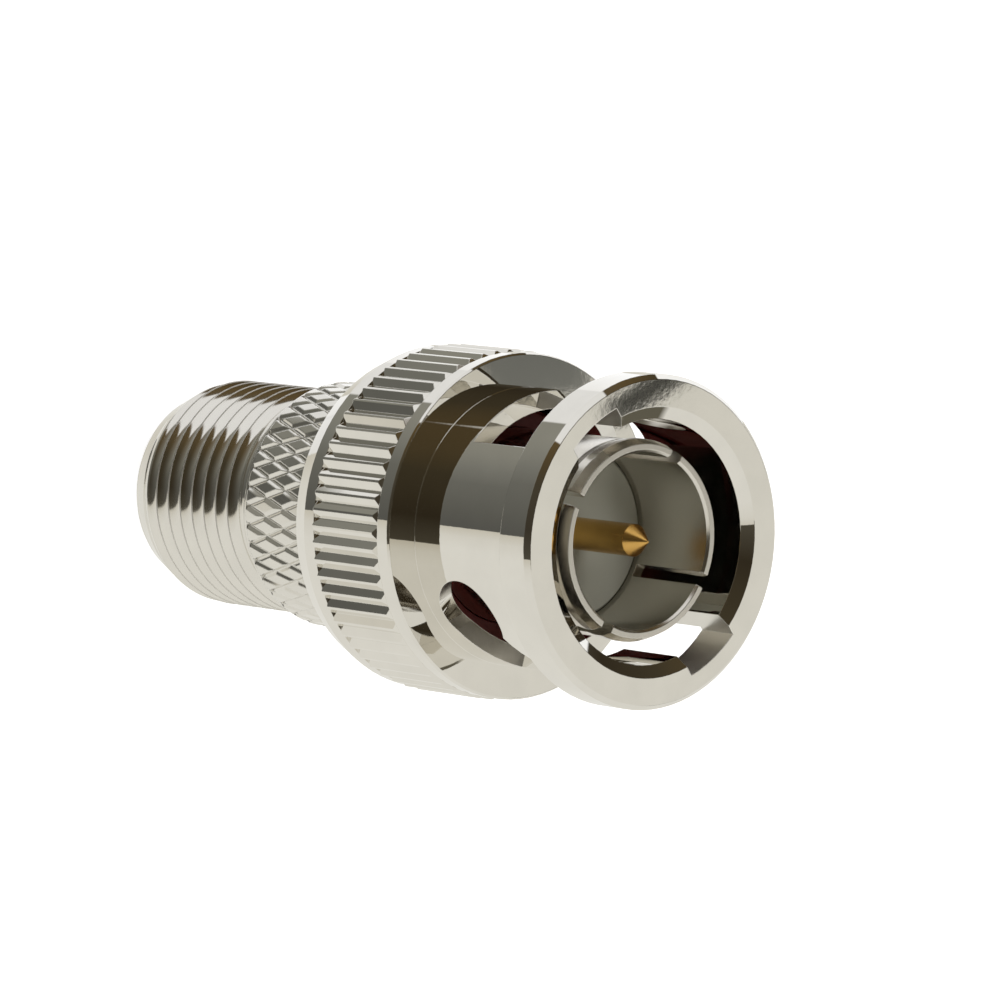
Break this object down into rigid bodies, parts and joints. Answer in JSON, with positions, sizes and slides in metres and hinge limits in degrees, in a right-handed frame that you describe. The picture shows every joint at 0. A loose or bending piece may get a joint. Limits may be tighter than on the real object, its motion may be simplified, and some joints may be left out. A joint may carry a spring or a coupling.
{
  "type": "bayonet to threaded coaxial adapter",
  "caption": "Nickel-plated coaxial adapter: bayonet plug with a sprung, knurled coupling nut on one end, threaded F jack on the other.",
  "frame": {"origin": "centre of the F jack's end face, on which the adapter stands", "axes": "+Z along the axis from the F jack towards the bayonet plug; -Y faces the picture's camera side of the coupling nut"},
  "size_m": [0.0144, 0.0144, 0.0284],
  "materials": {
    "nickel": "bright nickel plate on turned brass",
    "gold": "bright gold flash",
    "spring_steel": "plain spring steel",
    "white_plastic": "smooth white fluoropolymer",
    "red_rubber": "dark red silicone"
  },
  "bodies": {
    "adapter_body": {"f_jack_body": "nickel", "outer_contact": "nickel", "centre_pin": "gold", "f_contact": "gold", "front_insulator": "white_plastic", "rear_insulator": "white_plastic", "gasket": "red_rubber"},
    "spring_stack": {"thrust_washer": "spring_steel", "wave_washer_1": "spring_steel", "wave_washer_2": "spring_steel"},
    "coupling_nut": {"coupling_nut": "nickel", "retaining_ring": "spring_steel"}
  },
  "joints": [
    {"name": "nut_spin", "type": "hinge", "parent": "adapter_body", "child": "spring_stack", "pos_m": [0, 0, 0.0167], "axis": [0, 0, 1], "continuous": true},
    {"name": "nut_slide", "type": "slide", "parent": "spring_stack", "child": "coupling_nut", "axis": [0, 0, 1], "range_m": [0, 0.0006], "stiffness_N_per_m": 2500, "springref_m": -0.0003, "deforming": ["wave_washer_1", "wave_washer_2"]}
  ]
}
